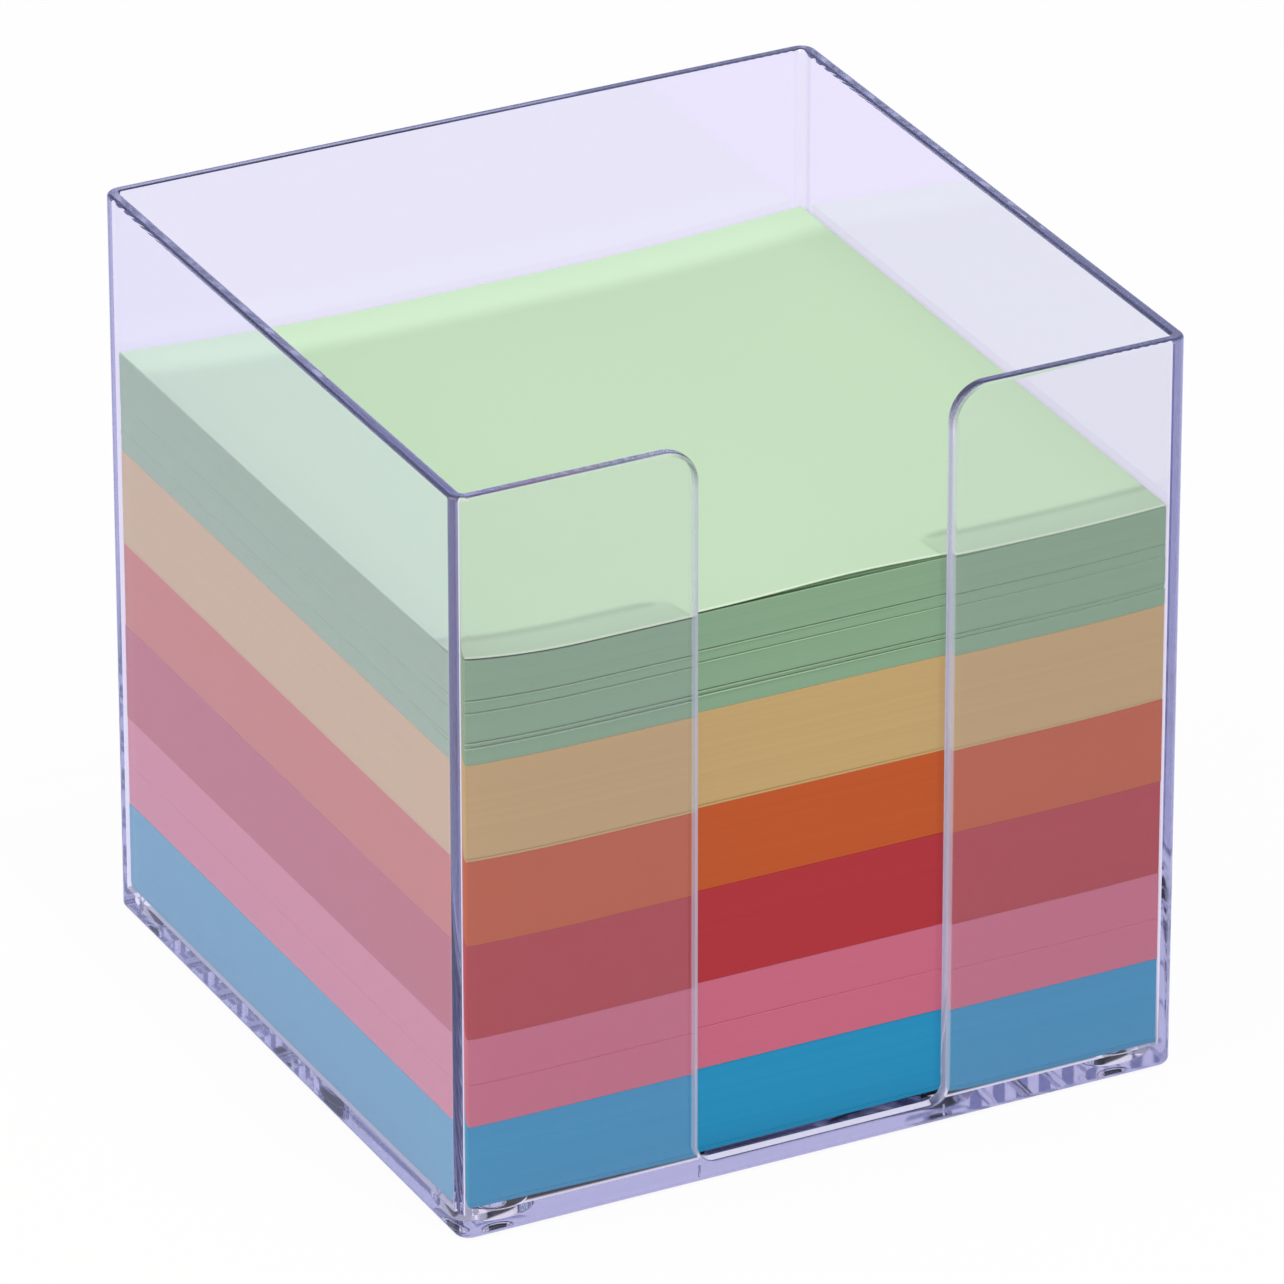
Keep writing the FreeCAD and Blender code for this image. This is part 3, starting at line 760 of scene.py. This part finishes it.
def wayTo(azimuth, height):
    # unit vector from the object: azimuth 0 is in front, towards -Y, and positive to the right
    a, h = math.radians(azimuth), math.radians(height)
    return Vector((math.sin(a) * math.cos(h), -math.cos(a) * math.cos(h), math.sin(h)))


def makeLamps():
    for name, lamp in lamps.items():
        data = bpy.data.lights.new(name, "AREA")
        data.energy, data.size = lamp["power"], lamp["size"]
        data.color = linearColour(lamp.get("colour", "#FFFFFF"))[:3]
        aim = Vector((0, 0, cadHigh.z * stage["lampAim"]))
        hangLamp(name, data, aim, wayTo(lamp["azimuth"], lamp["height"]), lamp["distance"])


def hangLamp(name, data, target, way, distance):
    light = bpy.data.objects.new(name, data)
    light.visible_transmission = False  # its light through the walls comes from shadow rays
    light.location = target + way * distance
    light.rotation_euler = way.to_track_quat("Z", "Y").to_euler()
    scene.collection.objects.link(light)


def makeMirrorLamp():
    # the key lamp's image in the polished back wall, which lights a strip of paper in front of it: a small
    # lamp about as far behind the wall, cut off at the rim and at the wall's sides
    wanted = mirrorLamp
    data = bpy.data.lights.new("keyLampInBackWall", "SPOT")
    data.energy, data.shadow_soft_size = wanted["power"], wanted["radius"]
    data.spot_size, data.spot_blend = math.radians(wanted["cone"]), 0.0
    data.use_nodes = True
    tree = data.node_tree
    tree.nodes.clear()
    coords = addNode(tree, "TexCoord")
    ray = addNode(tree, "SeparateXYZ", None, {"Vector": coords.outputs["Normal"]})
    slopes = [addNode(tree, "Math", {"operation": "DIVIDE"},
                      {0: ray.outputs[axis], 1: ray.outputs["Z"]}).outputs[0] for axis in ("X", "Y")]
    aside = addNode(tree, "Math", {"operation": "ABSOLUTE"}, {0: slopes[0]})
    within = addNode(tree, "Math", {"operation": "LESS_THAN", 1: wanted["across"]}, {0: aside.outputs[0]})
    below = addNode(tree, "MapRange", {1: 0.0, 2: wanted["soft"]}, {0: slopes[1]})
    above = addNode(tree, "Math", {"operation": "LESS_THAN", 1: wanted["down"]}, {0: slopes[1]})
    both = addNode(tree, "Math", {"operation": "MULTIPLY"}, {0: within.outputs[0], 1: below.outputs[0]})
    window = addNode(tree, "Math", {"operation": "MULTIPLY"}, {0: both.outputs[0], 1: above.outputs[0]})
    glow = addNode(tree, "Emission", None, {"Strength": window.outputs[0]})
    addNode(tree, "OutputLight", None, {"Surface": glow.outputs[0]})
    rimEdge = Vector((0, cadHigh.y, cadHigh.z))
    way = wayTo(wanted["azimuth"], wanted["height"])
    hangLamp("keyLampInBackWall", data, rimEdge, way, wanted["distance"])


view = {  # the photograph's standpoint, with the box's middle as its aim
    "azimuth": -27.023, "height": 26.712, "roll": -0.062, "distance": 1387.716, "right": 0.367, "up": -1.725,
    "focalPixels": 11765.15, "imagePixels": 1284, "sensor": 36.0,
}


def makeCamera():
    back = wayTo(view["azimuth"], view["height"])
    a = math.radians(view["azimuth"])
    right = Vector((math.cos(a), math.sin(a), 0))
    up = back.cross(right)
    roll = math.radians(view["roll"])
    right, up = right * math.cos(roll) + up * math.sin(roll), up * math.cos(roll) - right * math.sin(roll)
    data = bpy.data.cameras.new("camera")
    data.sensor_width = view["sensor"]
    data.lens = view["focalPixels"] * view["sensor"] / view["imagePixels"]
    camera = bpy.data.objects.new("camera", data)
    offset = right * view["right"] + up * view["up"] + back * view["distance"]
    place = Vector((0, 0, cadHigh.z / 2)) + offset * mm
    camera.matrix_world = Matrix.Translation(place) @ Matrix((right, up, back)).transposed().to_4x4()
    scene.collection.objects.link(camera)
    scene.camera = camera


makeFloor()
makeSky()
makeLamps()
makeMirrorLamp()
makeCamera()
scene.view_settings.view_transform = "Standard"
bounces = {"max_bounces": 96, "transmission_bounces": 96, "glossy_bounces": 96, "transparent_max_bounces": 24}
for name, count in bounces.items():
    setattr(scene.cycles, name, count)
print("stage ready")
